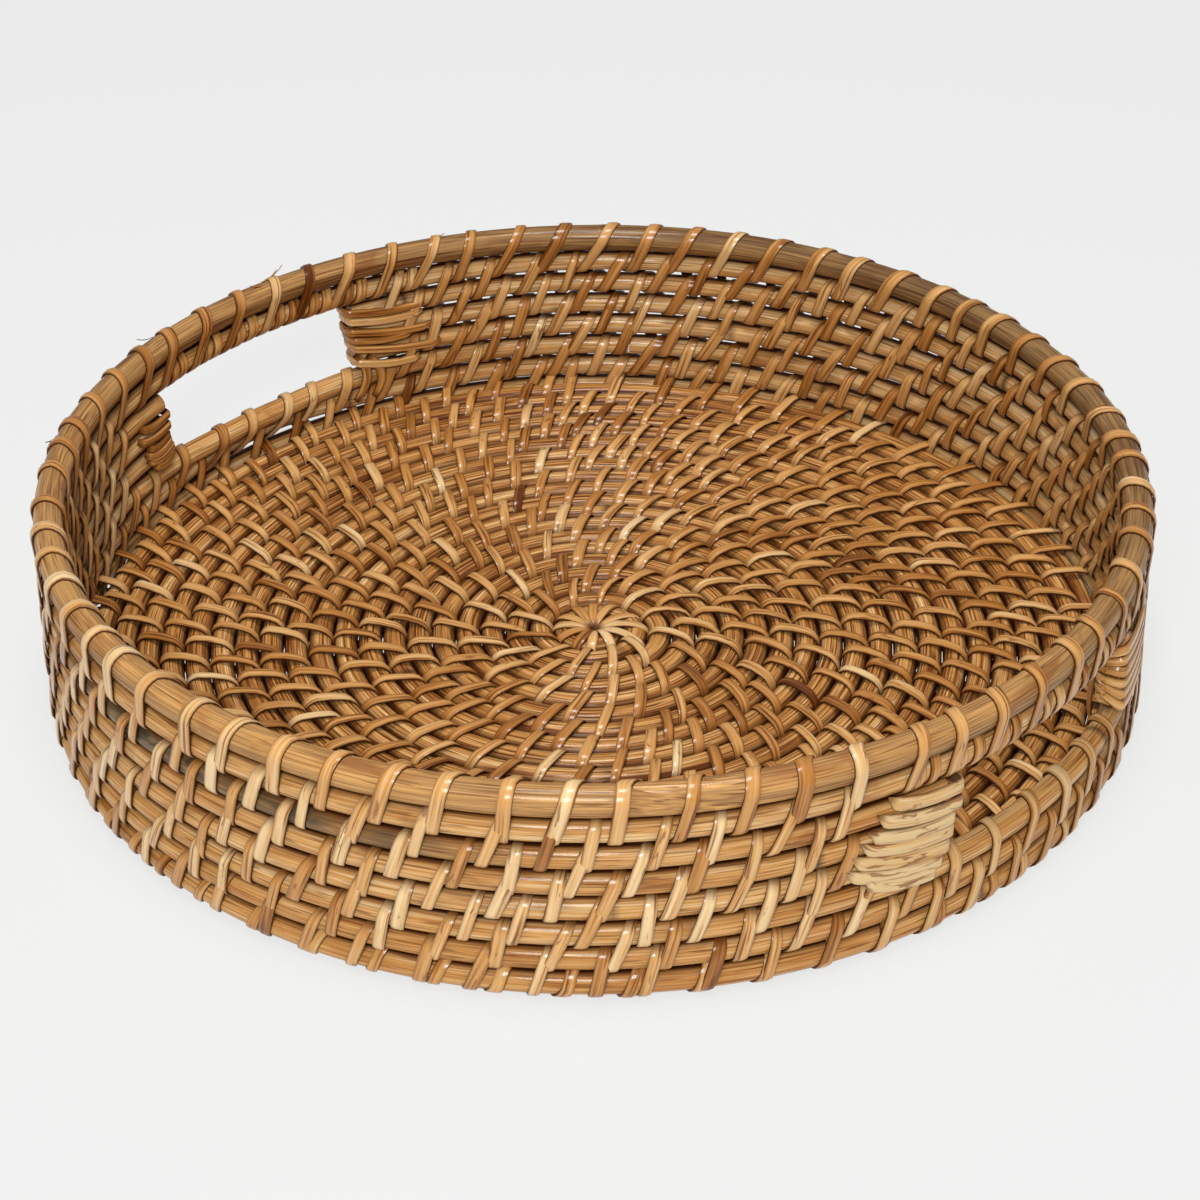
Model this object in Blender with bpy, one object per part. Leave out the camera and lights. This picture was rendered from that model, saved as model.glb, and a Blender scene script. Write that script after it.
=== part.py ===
"""Round tray of coiled cane with two hand-holds, in metres with +Z up.

The origin is at the middle of the underside. The hand-holds lie near the X axis, both a little to the back.
"""
import math

import bmesh
import bpy
import numpy as np

# Canes
RIM_RADIUS = 0.200
FOOT_SPREAD = 0.0015
RIM_CANE = 0.011
WALL_CANE = 0.00925
FLOOR_CANE = 0.0087
FLOOR_GAP = 0.0007
EYE = 0.006

# Hand-holds, and how far each lies behind the X axis in degrees
HOLD_LENGTH = 0.1035
HOLD_TURN = 1.8
SILL_ROUNDS = 2
HOLD_ROUNDS = 3

# Split-cane strips
STRIP_WIDTH = 0.0048
STRIP_THICKNESS = 0.0009
TUCK_THICKNESS = 0.00035
LASHING_STEP = 0.019
BINDING_STRIP = 0.0037
BINDING_SPACE = 0.0013
BINDING_LONG = 0.036
BINDING_SHORT = 0.022
BINDING_TURN_IN = 0.010
BINDING_TUCK = 0.0022
TIP_HEIGHT = 0.0005

# Clearances and joints
CLEARANCE = 0.0003
FACE_CLEARANCE = 0.0006
BUTT_GAP = 0.0006
TAIL_END = 0.0026

# Where the hoops are joined, in degrees from +X
RIM_JOINT = -45.0
BAR_JOINT = 105.0
SILL_JOINTS = (60.0, 127.5)
FOOT_JOINT = 82.5

# Points round a hoop and round one loop of the floor
HOOP_POINTS = 48
LOOP_POINTS = 24

# Worked-out sizes
WALL_GAP = TUCK_THICKNESS + 2 * CLEARANCE
WALL_PITCH = WALL_CANE + WALL_GAP
FLOOR_PITCH = FLOOR_CANE + FLOOR_GAP
FLOOR_MIDDLE = STRIP_THICKNESS + FLOOR_CANE / 2
FOOT_MIDDLE = STRIP_THICKNESS + WALL_CANE / 2
BAR_ROUND = SILL_ROUNDS + HOLD_ROUNDS + 1
BAR_MIDDLE = FOOT_MIDDLE + BAR_ROUND * WALL_PITCH
RIM_MIDDLE = BAR_MIDDLE + WALL_CANE / 2 + WALL_GAP + RIM_CANE / 2
HOOP_STEP = 2 * math.pi / HOOP_POINTS
RIGHT_HOLD = math.radians(HOLD_TURN)
LEFT_HOLD = math.pi - RIGHT_HOLD

COLOURS = {
    "cane": (0.42, 0.24, 0.09),
    "rim": (0.33, 0.19, 0.07),
    "strip": (0.52, 0.29, 0.10),
    "pale strip": (0.62, 0.41, 0.18),
}


def clear_scene():
    """Remove every object that the scene starts with."""
    for thing in list(bpy.data.objects):
        bpy.data.objects.remove(thing, do_unlink=True)


def make_material(name, colour, roughness):
    """Varnished cane: a plain colour with a satin finish."""
    material = bpy.data.materials.new(name)
    material.use_nodes = True
    shader = material.node_tree.nodes["Principled BSDF"]
    shader.inputs["Base Color"].default_value = (*colour, 1.0)
    shader.inputs["Roughness"].default_value = roughness
    shader.inputs["Metallic"].default_value = 0.0
    return material


def wall_radius(height):
    """Radius of the wall's canes at a height: the wall leans in a little from foot to rim."""
    return RIM_RADIUS + FOOT_SPREAD * (RIM_MIDDLE - height) / (RIM_MIDDLE - FOOT_MIDDLE)


def hoop_radius(radius, angle):
    """Radius at an angle of a hoop drawn with straight runs between its points."""
    within = angle % HOOP_STEP - HOOP_STEP / 2
    return radius * math.cos(HOOP_STEP / 2) / math.cos(within)


def polar(radius, angle, height):
    """Point at a radius and an angle from +X."""
    return (radius * math.cos(angle), radius * math.sin(angle), height)


def add_cane(name, points, thickness, material, resolution, collection, tapers=None):
    """A round cane along a list of points, closed at both ends."""
    curve = bpy.data.curves.new(name, "CURVE")
    curve.dimensions = "3D"
    curve.twist_mode = "Z_UP"
    curve.bevel_depth = thickness / 2
    curve.bevel_resolution = resolution
    curve.use_fill_caps = True
    spline = curve.splines.new("POLY")
    spline.points.add(len(points) - 1)
    for index, point in enumerate(points):
        spline.points[index].co = (*point, 1.0)
        spline.points[index].radius = tapers[index] if tapers else 1.0
    curve.materials.append(material)
    cane = bpy.data.objects.new(name, curve)
    collection.objects.link(cane)
    return cane


def arc_points(radius, start, end, height):
    """Points of a hoop's arc: its two ends and every whole step between them."""
    first = math.floor(start / HOOP_STEP + 0.01) + 1
    last = math.ceil(end / HOOP_STEP - 0.01) - 1
    angles = [start] + [step * HOOP_STEP for step in range(first, last + 1)] + [end]
    return [polar(hoop_radius(radius, angle), angle, height) for angle in angles]


def add_hoop(name, joint, height, thickness, material, collection):
    """A full round of cane whose two ends butt together at a joint."""
    radius = wall_radius(height)
    half_gap = BUTT_GAP / 2 / radius
    start = math.radians(joint) + half_gap
    end = start + 2 * math.pi - 2 * half_gap
    points = arc_points(radius, start, end, height)
    return add_cane(name, points, thickness, material, 2, collection)


def hold_end_angle(height):
    """Angle from a hold's middle to the cut ends of the canes at a height."""
    wrap = FACE_CLEARANCE + STRIP_THICKNESS
    return (HOLD_LENGTH / 2 + wrap) / wall_radius(height)


def add_cut_round(name, height, side, material, collection):
    """One of the two arcs of a round that the hand-holds cut, on the +Y or the -Y side."""
    end_angle = hold_end_angle(height)
    before, after = (RIGHT_HOLD, LEFT_HOLD) if side > 0 else (LEFT_HOLD, RIGHT_HOLD + 2 * math.pi)
    start = before + end_angle
    end = after - end_angle
    points = arc_points(wall_radius(height), start, end, height)
    return add_cane(name, points, WALL_CANE, material, 2, collection)


def floor_path():
    """Spiral from the eye to the foot, clockwise from above, with a thinning tail inside the foot.

    The radius grows by one pitch a turn. On the last turn the cane narrows in step with the space
    between the turn before it and the foot cane, and stops when it is TAIL_END thick.
    """
    start_radius = EYE / 2 + FLOOR_CANE / 2
    edge = wall_radius(FOOT_MIDDLE) - WALL_CANE / 2 - FLOOR_GAP
    full_turns = (edge - FLOOR_CANE / 2 - start_radius) / FLOOR_PITCH
    tail_turns = 1 - (TAIL_END + FLOOR_GAP) / FLOOR_PITCH
    count = math.ceil((full_turns + tail_turns) * LOOP_POINTS)
    points = []
    tapers = []
    for index in range(count + 1):
        turns = min(index / LOOP_POINTS, full_turns + tail_turns)
        into_tail = max(turns - full_turns, 0.0)
        thickness = FLOOR_CANE - into_tail * FLOOR_PITCH
        radius = start_radius + (turns - into_tail) * FLOOR_PITCH + (FLOOR_CANE - thickness) / 2
        points.append(polar(radius, -2 * math.pi * turns, 0.0))
        tapers.append(thickness / FLOOR_CANE)
    return points, tapers


def least_gap(points, widths, apart):
    """Least gap of a wound form to itself, between points more than a number of steps apart."""
    places = np.array(points)
    half = np.array(widths) / 2
    best = math.inf
    for step in range(apart, len(places)):
        distance = np.linalg.norm(places[step:] - places[:-step], axis=1)
        best = min(best, float((distance - half[step:] - half[:-step]).min()))
    return best


def between(points):
    """The points with the middle of each run put between them."""
    places = np.array(points)
    middles = (places[1:] + places[:-1]) / 2
    doubled = np.empty((len(places) * 2 - 1, places.shape[1]))
    doubled[0::2] = places
    doubled[1::2] = middles
    return doubled


def add_floor_coil(material, collection):
    """The floor: one cane wound flat. Its flats stand where the strips over and under it lie."""
    points, tapers = floor_path()
    coil = add_cane("floor_coil", points, FLOOR_CANE, material, 1, collection, tapers)
    flat_of_six_sides = FLOOR_CANE / 2 * math.cos(math.pi / 6)
    coil.scale.z = FLOOR_MIDDLE / flat_of_six_sides
    coil.location.z = FLOOR_MIDDLE
    widths = [FLOOR_CANE * taper for taper in tapers]
    fine = between(np.column_stack([points, widths]))
    gap = least_gap(fine[:, :3], fine[:, 3], LOOP_POINTS)
    print(f"floor_coil: {len(points) / LOOP_POINTS:.1f} loops, least gap to itself {gap * 1000:.2f} mm")
    return coil


def add_strip(name, middles, normals, sides, widths, thicknesses, material, collection):
    """A strip lofted between three-sided sections: flat against the canes, crowned outside."""
    shape = bmesh.new()
    rows = []
    for middle, normal, side, width, thickness in zip(middles, normals, sides, widths, thicknesses):
        corners = (middle - side * width / 2, middle + side * width / 2, middle + normal * thickness)
        rows.append([shape.verts.new(corner) for corner in corners])
    for row, following in zip(rows, rows[1:]):
        for corner in range(3):
            turn = (corner + 1) % 3
            shape.faces.new((row[corner], row[turn], following[turn], following[corner]))
    shape.faces.new(rows[0])
    shape.faces.new(rows[-1])
    bmesh.ops.recalc_face_normals(shape, faces=shape.faces)
    mesh = bpy.data.meshes.new(name)
    shape.to_mesh(mesh)
    shape.free()
    mesh.shade_smooth()
    mesh.set_sharp_from_angle(angle=math.radians(30))
    mesh.materials.append(material)
    strip = bpy.data.objects.new(name, mesh)
    collection.objects.link(strip)
    return strip


def lashing_section():
    """Eight places of one loop round the rim and the hold bar, from the top down the outer side.

    Each place is an offset from the wall's middle, a height, an outward direction and a thickness.
    The loop stands clear of both canes by tangent corners of an eight-sided round.
    """
    rim = RIM_CANE / 2 + FACE_CLEARANCE
    bar = WALL_CANE / 2 + FACE_CLEARANCE
    tuck = WALL_CANE / 2 + CLEARANCE
    corner = math.tan(math.pi / 8)
    slant = math.sqrt(0.5)
    outer = [
        (rim * corner, RIM_MIDDLE + rim, 0.0, 1.0, STRIP_THICKNESS),
        (rim, RIM_MIDDLE + rim * corner, slant, slant, STRIP_THICKNESS),
        (bar, BAR_MIDDLE - bar * corner, slant, -slant, STRIP_THICKNESS),
        (tuck * corner, BAR_MIDDLE - tuck, 0.0, -1.0, TUCK_THICKNESS),
    ]
    inner = [(-out, height, -lean, rise, thick) for out, height, lean, rise, thick in reversed(outer)]
    return outer + inner


def add_rim_lashing(material, collection):
    """The strip that ties the rim to the hold bar: one unbroken winding that goes clockwise from above."""
    loops = round(2 * math.pi * RIM_RADIUS / LASHING_STEP)
    section = lashing_section()
    start = math.radians(RIM_JOINT)
    count = loops * len(section) - len(section) // 2
    middles, normals, sides, widths, thicknesses = [], [], [], [], []
    for index in range(count):
        offset, height, lean, rise, thickness = section[index % len(section)]
        angle = start - 2 * math.pi * index / (loops * len(section))
        radius = hoop_radius(wall_radius(height), angle) + offset
        middles.append(np.array(polar(radius, angle, height)))
        normals.append(np.array(polar(lean, angle, rise)))
        sides.append(np.array(polar(1.0, angle + math.pi / 2, 0.0)))
        widths.append(STRIP_WIDTH)
        thicknesses.append(thickness)
    gap = least_gap(middles, widths, len(section))
    print(f"rim_lashing: {loops} loops, least gap to itself {gap * 1000:.2f} mm")
    return add_strip("rim_lashing", middles, normals, sides, widths, thicknesses, material, collection)


def binding_places():
    """Places of an end binding's strip, loop by loop from the top.

    Each place is a distance along the wall from the cut ends, an offset from the wall's middle, a height,
    an outward direction along the wall and across it, a width and a thickness. Two loops lie on each of
    the cut canes. From the outer face a loop turns round the ends, comes back along the inner face, and
    passes through the gap under its cane, far off on one loop and near on the next.
    """
    face = WALL_CANE / 2 + FACE_CLEARANCE
    past_end = FACE_CLEARANCE
    spread = (BINDING_STRIP + BINDING_SPACE) / 2
    tip = TIP_HEIGHT / BINDING_STRIP
    slant = math.sqrt(0.5)
    rounds = range(SILL_ROUNDS + HOLD_ROUNDS, SILL_ROUNDS, -1)
    levels = [FOOT_MIDDLE + level * WALL_PITCH for level in rounds]
    heights = [middle + shift for middle in levels for shift in (spread, -spread)]
    gaps = [middle - WALL_PITCH / 2 for middle in levels for _ in range(2)]
    lengths = [BINDING_LONG, BINDING_SHORT] * len(levels)
    places = []

    def put(along, offset, height, on, out, share):
        places.append((along, offset, height, on, out, BINDING_STRIP * share, STRIP_THICKNESS * share))

    def face_run(side, length, height, gap, tucked):
        """Far end to near end on one face, side 1 for the outer face and -1 for the inner one."""
        far = length - BINDING_TUCK
        turn = length - BINDING_TURN_IN
        run = [(far, gap if tucked else height, tip), (turn, height, 1.0), (turn / 2, height, 1.0)]
        for along, level, share in run if side > 0 else reversed(run):
            put(along, side * face, level, 0.0, side, share)

    last = len(heights) - 1
    for loop, height in enumerate(heights):
        before = BINDING_SHORT if loop == 0 else lengths[loop - 1]
        face_run(1, before, height, gaps[max(loop - 1, 0)], loop > 0)
        put(0.0, face, height, -slant, slant, 1.0)
        put(-past_end, face / 2, height, -1.0, 0.0, 1.0)
        put(-past_end, -face / 2, height, -1.0, 0.0, 1.0)
        put(0.0, -face, height, -slant, -slant, 1.0)
        after = BINDING_SHORT if loop == last else lengths[loop]
        face_run(-1, after, height, gaps[loop], loop < last)
        if loop < last:
            put(after, 0.0, gaps[loop], 1.0, 0.0, TUCK_THICKNESS / BINDING_STRIP)
    return places


def add_binding(name, hold_angle, side, material, collection):
    """The strip wound round the cut ends at one side of a hand-hold."""
    middles, normals, sides, widths, thicknesses = [], [], [], [], []
    for along, offset, height, on, out, width, thickness in binding_places():
        radius = wall_radius(height)
        angle = hold_angle + side * (hold_end_angle(height) + along / radius)
        direction = angle + side * math.pi / 2
        middles.append(np.array(polar(hoop_radius(radius, angle) + offset, angle, height)))
        normals.append(np.array(polar(out, angle, 0.0)) + np.array(polar(on, direction, 0.0)))
        sides.append(np.array((0.0, 0.0, 1.0)))
        widths.append(width)
        thicknesses.append(thickness)
    edges = [middle + edge * width / 2 * np.array((0.0, 0.0, 1.0))
             for middle, width in zip(middles, widths) for edge in (-1, 1)]
    loops = 2 * HOLD_ROUNDS
    apart = len(edges) // loops // 2
    gap = least_gap(edges, [0.0] * len(edges), apart)
    print(f"{name}: {loops} loops, least gap to itself {gap * 1000:.2f} mm")
    return add_strip(name, middles, normals, sides, widths, thicknesses, material, collection)


def build_wall(materials, collection):
    """The foot, the sill, the cut rounds, the hold bar and the rim, from the bottom up."""
    cane = materials["cane"]
    add_hoop("foot_cane", FOOT_JOINT, FOOT_MIDDLE, WALL_CANE, cane, collection)
    for level, joint in enumerate(SILL_JOINTS, start=1):
        add_hoop(f"sill_cane_{level}", joint, FOOT_MIDDLE + level * WALL_PITCH, WALL_CANE, cane, collection)
    for order in range(1, HOLD_ROUNDS + 1):
        height = FOOT_MIDDLE + (SILL_ROUNDS + order) * WALL_PITCH
        add_cut_round(f"front_cane_{order}", height, -1, cane, collection)
        add_cut_round(f"back_cane_{order}", height, 1, cane, collection)
    add_hoop("hold_bar_cane", BAR_JOINT, BAR_MIDDLE, WALL_CANE, cane, collection)
    add_hoop("rim_cane", RIM_JOINT, RIM_MIDDLE, RIM_CANE, materials["rim"], collection)


def main():
    """Build every cane and strip of the tray."""
    clear_scene()
    collection = bpy.data.collections.new("coiled_cane_tray")
    bpy.context.scene.collection.children.link(collection)
    materials = {name: make_material(name, colour, 0.45) for name, colour in COLOURS.items()}
    add_floor_coil(materials["cane"], collection)
    build_wall(materials, collection)
    add_rim_lashing(materials["strip"], collection)
    for hold, hold_angle in (("right", RIGHT_HOLD), ("left", LEFT_HOLD)):
        for end, side in (("front", -1), ("back", 1)):
            turn = side if hold == "right" else -side
            add_binding(f"binding_{hold}_{end}", hold_angle, turn, materials["pale strip"], collection)


main()
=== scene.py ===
"""Dress a round tray of coiled cane: its canes, stitches, rim lashing, hand-hold bindings and the stage.

Angles run anticlockwise from +X, seen from above. The hand-holds lie near the X axis.
"""
import math
from typing import NamedTuple

import bpy
import numpy as np
from mathutils import Matrix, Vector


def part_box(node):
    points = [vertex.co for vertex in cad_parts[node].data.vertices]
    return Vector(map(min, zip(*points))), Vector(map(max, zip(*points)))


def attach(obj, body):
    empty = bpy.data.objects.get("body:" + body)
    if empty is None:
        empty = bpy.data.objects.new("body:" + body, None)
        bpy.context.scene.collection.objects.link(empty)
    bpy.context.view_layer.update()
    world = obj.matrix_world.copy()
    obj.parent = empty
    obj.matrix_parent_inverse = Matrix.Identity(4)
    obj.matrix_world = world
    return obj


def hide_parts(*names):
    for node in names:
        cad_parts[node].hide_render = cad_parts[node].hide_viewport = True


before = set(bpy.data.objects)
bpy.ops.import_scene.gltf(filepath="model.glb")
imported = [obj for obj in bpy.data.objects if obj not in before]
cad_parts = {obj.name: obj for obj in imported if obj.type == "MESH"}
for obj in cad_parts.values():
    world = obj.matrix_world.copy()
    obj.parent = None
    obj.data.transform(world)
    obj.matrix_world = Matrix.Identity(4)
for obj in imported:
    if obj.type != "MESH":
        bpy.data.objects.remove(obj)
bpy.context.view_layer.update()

bl_info = {
    "name": "Coiled cane tray",
    "version": (1, 0, 0),
    "blender": (4, 5, 0),
    "location": "View3D > Sidebar > Tray",
    "description": "Builds the canes, stitches and bindings of a coiled cane tray",
    "category": "Add Mesh",
}

FULL_TURN = 2 * math.pi


class Round(NamedTuple):
    """One round of the wall: radius and height of its middle, half its thickness and its seed.

    Sag is its share of the sills' sag at both hand-holds, bow and rise its shares of their bow inward and
    their rise at the left one. Slim is the share by which it thins towards the back.
    """

    radius: float
    height: float
    half: float
    seed: int
    sag: float = 0.0
    bow: float = 0.0
    rise: float = 0.0
    slim: float = 0.0


def measure_round(node, seed, sag=0.0, bow=0.0, rise=0.0, slim=0.0):
    """Read a round's sizes from its CAD node: the -Y side of its box is its widest reach."""
    low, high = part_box(node)
    half = (high[2] - low[2]) / 2
    return Round(-low[1] - half, (low[2] + high[2]) / 2, half, seed, sag, bow, rise, slim)


FOOT = measure_round("foot_cane", 11)
SILLS = [measure_round("sill_cane_1", 12, 0.0, -0.2, 1.0), measure_round("sill_cane_2", 13, 0.8, 1.0)]
CUTS = [measure_round(f"front_cane_{level}", 20 + level, slim=slim)
        for level, slim in enumerate((0.0, 0.02, 0.06), start=1)]
BAR = measure_round("hold_bar_cane", 31, slim=0.05)
RIM = measure_round("rim_cane", 32)
WALL = [FOOT, *SILLS, *CUTS, BAR, RIM]
FLOOR_HEIGHT = (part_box("floor_coil")[0][2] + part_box("floor_coil")[1][2]) / 2


def cut_end_angles(level):
    """Angles from the X axis to a cut round's ends, at the front and the back, from its two arcs' boxes."""
    reach = CUTS[level - 1].radius - CUTS[level - 1].half
    front = math.asin(-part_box(f"front_cane_{level}")[1][1] / reach)
    back = math.asin(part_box(f"back_cane_{level}")[0][1] / reach)
    return front, back


FRONT_END, BACK_END = cut_end_angles(2)
HOLD_TURN = (BACK_END - FRONT_END) / 2
HOLD_HALF = (BACK_END + FRONT_END) / 2
RIGHT_HOLD, LEFT_HOLD = HOLD_TURN, math.pi - HOLD_TURN


def apart(angle, place):
    """Least angle between each angle and a place."""
    return np.abs(np.mod(angle - place + math.pi, FULL_TURN) - math.pi)


def hold_distance(angle):
    """Angle from each angle to the middle of the nearest hand-hold."""
    return np.minimum(apart(angle, RIGHT_HOLD), apart(angle, LEFT_HOLD))


def smooth_step(value, low, high):
    """From 0 at one value to 1 at another, level at both."""
    share = np.clip((value - low) / (high - low), 0, 1)
    return share * share * (3 - 2 * share)


def beside_holds(angle):
    """0 over the hand-holds and 1 beside them."""
    return smooth_step(hold_distance(angle), 0.9 * HOLD_HALF, 1.15 * HOLD_HALF)


def a_length(name, description, default, low=0.0):
    """A length that the panel shows."""
    return bpy.props.FloatProperty(
        name=name, description=description, default=default, min=low, subtype="DISTANCE", unit="LENGTH")


def a_share(name, description, default, low=0.0):
    """A share of one that the panel shows."""
    return bpy.props.FloatProperty(
        name=name, description=description, default=default, min=low, max=1.0, subtype="FACTOR")


def an_angle(name, description, degrees):
    """An angle that the panel shows, given in degrees."""
    return bpy.props.FloatProperty(
        name=name, description=description, default=math.radians(degrees), subtype="ANGLE", unit="ROTATION")


def a_colour(name, description, default):
    """A colour that the panel shows."""
    return bpy.props.FloatVectorProperty(
        name=name, description=description, default=default, size=3, min=0.0, max=1.0, subtype="COLOR")


class TraySizes(bpy.types.PropertyGroup):
    """Sizes of the tray's canes and strips."""

    floor_cane: a_length("Floor cane", "Thickness of the cane coiled into the floor", 0.0087, 0.001)
    floor_gap: a_length("Floor gap", "Gap between two turns of the floor", 0.0007)
    eye: a_length("Eye", "Width of the small hole in the middle of the floor", 0.006)
    tail_end: a_length("Tail end", "Thickness at which the floor cane's thinned tail stops", 0.0026)
    strip_width: a_length("Strip width", "Width of the strips of floor and wall", 0.0047, 0.001)
    rim_strip_width: a_length("Rim strip width", "Width of the strip that lashes the rim", 0.0050, 0.001)
    strip_thickness: a_length("Strip thickness", "Thickness of a strip at its crown", 0.0010, 0.0001)
    stitch_step: a_length("Stitch step", "Distance along the cane from one stitch to the next", 0.019, 0.005)
    unevenness: a_length("Unevenness", "How far a hand-laid cane strays from its true place", 0.00028)
    wall_share: a_share("Wall share", "Bare cane's share of a solid wall cane's thickness", 0.957, 0.5)
    sill_sag: a_length("Sill sag", "How far the upper sill cane sags at the hand-holds", 0.0014)
    sill_bow: a_length("Sill bow", "How far the upper sill bows inward at the left hand-hold", 0.0036)
    sill_rise: a_length("Sill rise", "How far the lower sill rises at the left hand-hold", 0.0013)
    scarf: a_length("Scarf", "Length over which the rim's two ends are cut slanting and overlap", 0.043)


class TrayColours(bpy.types.PropertyGroup):
    """Colours of the varnished cane, from its darkest fibre to its palest."""

    # Shadow: painted shade at the bottom of the crevices, and the dark rings of the cane's nodes.
    shadow: a_colour("Shadow", "Stain in the crevices", (0.016, 0.0035, 0.0005))
    # Brown is also the painted shade on the way into the crevices.
    brown: a_colour("Brown", "Dark fibres and old varnish", (0.105, 0.025, 0.003))
    rust: a_colour("Rust", "Scorches on the strips", (0.210, 0.058, 0.010))
    soot: a_colour("Soot", "Grey stain on one round", (0.06, 0.046, 0.026))
    olive: a_colour("Olive", "Middle colour of the rim", (0.340, 0.178, 0.062))
    amber: a_colour("Amber", "Middle colour of the strips", (0.420, 0.168, 0.035))
    gold: a_colour("Gold", "Light strips and fibres", (0.625, 0.330, 0.108))
    straw: a_colour("Straw", "Palest bark", (0.800, 0.580, 0.310))
    bleached: a_colour("Bleached", "Strips of one binding, without varnish", (0.715, 0.505, 0.255))


class TrayStage(bpy.types.PropertyGroup):
    """Camera, floor and light."""

    azimuth: an_angle("Azimuth", "Camera's place round the tray, from -Y towards +X", 42.0)
    elevation: an_angle("Elevation", "Camera's place above the tray's underside", 34.098)
    distance: a_length("Distance", "Camera's distance from the middle of the underside", 1.11956)
    aside: a_length("Aside", "How far the camera stands to the right", 0.00226, -1.0)
    pitch: an_angle("Pitch", "How far the camera looks down", 33.140)
    roll: an_angle("Roll", "Turn of the camera about its line of sight", -0.389)
    lens: bpy.props.FloatProperty(
        name="Lens", description="Focal length on a sensor 36 mm wide", default=87.004,
        subtype="DISTANCE_CAMERA")
    floor_colour: a_colour("Floor colour", "Pale floor", (0.80, 0.805, 0.795))
    glow_colour: a_colour("Glow colour", "Colour that the floor is lifted to where it is seen",
                          (0.858, 0.866, 0.856))
    glow: a_share("Glow", "Share by which the floor is lifted", 0.82)


# Shapes

def waves(angle, seed):
    """Slow unevenness from -1 to 1: waves of two, three and five periods a turn, phased by the seed."""
    phase = np.random.default_rng(seed).uniform(0, FULL_TURN, 3)
    strength = np.array([1.0, 0.7, 0.5])
    periods = np.array([2, 3, 5])
    total = (strength * np.sin(np.multiply.outer(angle, periods) + phase)).sum(axis=-1)
    return total / strength.sum()


FADED_SIDE = math.radians(-70)
FADED_SWELL = 0.033
UNEVEN_HALF = 0.025


def fading(angle):
    """How far the cane has faded at each angle, from 1 on the palest side to -1 opposite it."""
    return np.cos(angle - FADED_SIDE)


def place_round(wall_round, angle, sizes):
    """Radius, height and half thickness of a round at each angle, strayed by slow waves.

    At both hand-holds a sill sags over their length. At the left one it bows and rises, most in the middle.
    """
    share = 1.0 if wall_round is RIM else sizes.wall_share + FADED_SWELL * fading(angle)
    share = share - wall_round.slim * np.clip(-fading(angle), 0, 1)
    left = 1 - smooth_step(apart(angle, LEFT_HOLD), 0.2 * HOLD_HALF, 1.15 * HOLD_HALF)
    rise = wall_round.rise * sizes.sill_rise * left
    bow = wall_round.bow * sizes.sill_bow * left
    over_holds = 1 - smooth_step(hold_distance(angle), HOLD_HALF, 1.7 * HOLD_HALF)
    sag = wall_round.sag * sizes.sill_sag * over_holds
    radius = wall_round.radius + sizes.unevenness * waves(angle, wall_round.seed) - bow
    height = wall_round.height + sizes.unevenness * waves(angle, wall_round.seed + 100) - sag + rise
    half = wall_round.half * share * (1 + UNEVEN_HALF * waves(angle, wall_round.seed + 200))
    return radius, height, half


def polar(radius, angle, height):
    """Points from radii, angles and heights, as an array with x, y and z last."""
    return np.stack([radius * np.cos(angle), radius * np.sin(angle), height + 0 * angle], axis=-1)


def grid_quads(rows, columns):
    """Quads of a grid of rows that closes round its columns."""
    row, column = np.meshgrid(np.arange(rows - 1), np.arange(columns), indexing="ij")
    following = (column + 1) % columns
    corners = [row * columns + column, row * columns + following,
               (row + 1) * columns + following, (row + 1) * columns + column]
    return np.stack(corners, axis=-1).reshape(-1, 4)


def tube_faces(tubes, rows, columns, turned=False):
    """Quads and end caps of a number of tubes, each a grid of rows round its columns, or turned round."""
    first = np.arange(tubes)[:, None, None] * rows * columns
    quads = (grid_quads(rows, columns)[None] + first).reshape(-1, 4)
    start = np.arange(columns)[::-1]
    end = (rows - 1) * columns + np.arange(columns)
    caps = (np.stack([start, end])[None] + first).reshape(-1, columns)
    order = -1 if turned else 1
    return quads[:, ::order].tolist() + caps[:, ::order].tolist()


def put(name, data):
    """A new object in the scene."""
    item = bpy.data.objects.new(name, data)
    bpy.context.scene.collection.objects.link(item)
    return item


def add_piece(name, points, faces, attributes, material, replaced=(), crease=50.0):
    """Put a surface into the scene as a piece of the tray that rides on its one body."""
    mesh = bpy.data.meshes.new(name)
    mesh.from_pydata(points.reshape(-1, 3), [], faces)
    for label, values in attributes.items():
        vector = values.shape[-1] == 3 and values.ndim > 1
        layer = mesh.attributes.new(label, "FLOAT_VECTOR" if vector else "FLOAT", "POINT")
        layer.data.foreach_set("vector" if vector else "value", values.astype(np.float32).ravel())
    mesh.shade_smooth()
    mesh.set_sharp_from_angle(angle=math.radians(crease))
    mesh.materials.append(material)
    mesh.validate()
    piece = put(name, mesh)
    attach(piece, "root")
    if replaced:
        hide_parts(*replaced)
    return piece


CANE_SIDES = 18
ROUND_POWER = 2.0
FLOOR_POWER = 2.4
CANE_TURN = np.linspace(0, FULL_TURN, CANE_SIDES, endpoint=False)
# These powers narrow the painted shade beside a floor cane and over and under a wall round.
BESIDE_POWER = 2.4
OVER_POWER = 8
DENT_ROUND = 0.018
DENT_ALONG = 0.008
DENT_PHASE_A_METRE = 55
NODE_SPACING = 0.31
NODE_WIDTH = 0.0011
NODE_SWELL = 0.035
UPWARD = np.array([0.0, 0.0, 1.0])


def crevice_shade(kind, angle):
    """How deep in a crevice each point round a cane lies, as the strength of the shade painted there: a power
    of its slope towards the neighbours.

    They lie beside the floor's cane, over and under a wall round, and only under the rim. The upper sill has
    none over it at the hand-holds.
    """
    beside = np.abs(np.cos(CANE_TURN)) ** BESIDE_POWER
    above = np.clip(np.sin(CANE_TURN), 0, 1) ** OVER_POWER
    below = np.clip(-np.sin(CANE_TURN), 0, 1) ** OVER_POWER
    sill = above * beside_holds(angle)[:, None] + below
    depths = {"floor": beside, "wall": above + below, "rim": below, "sill": sill}
    return np.broadcast_to(depths[kind], (len(angle), CANE_SIDES))


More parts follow.
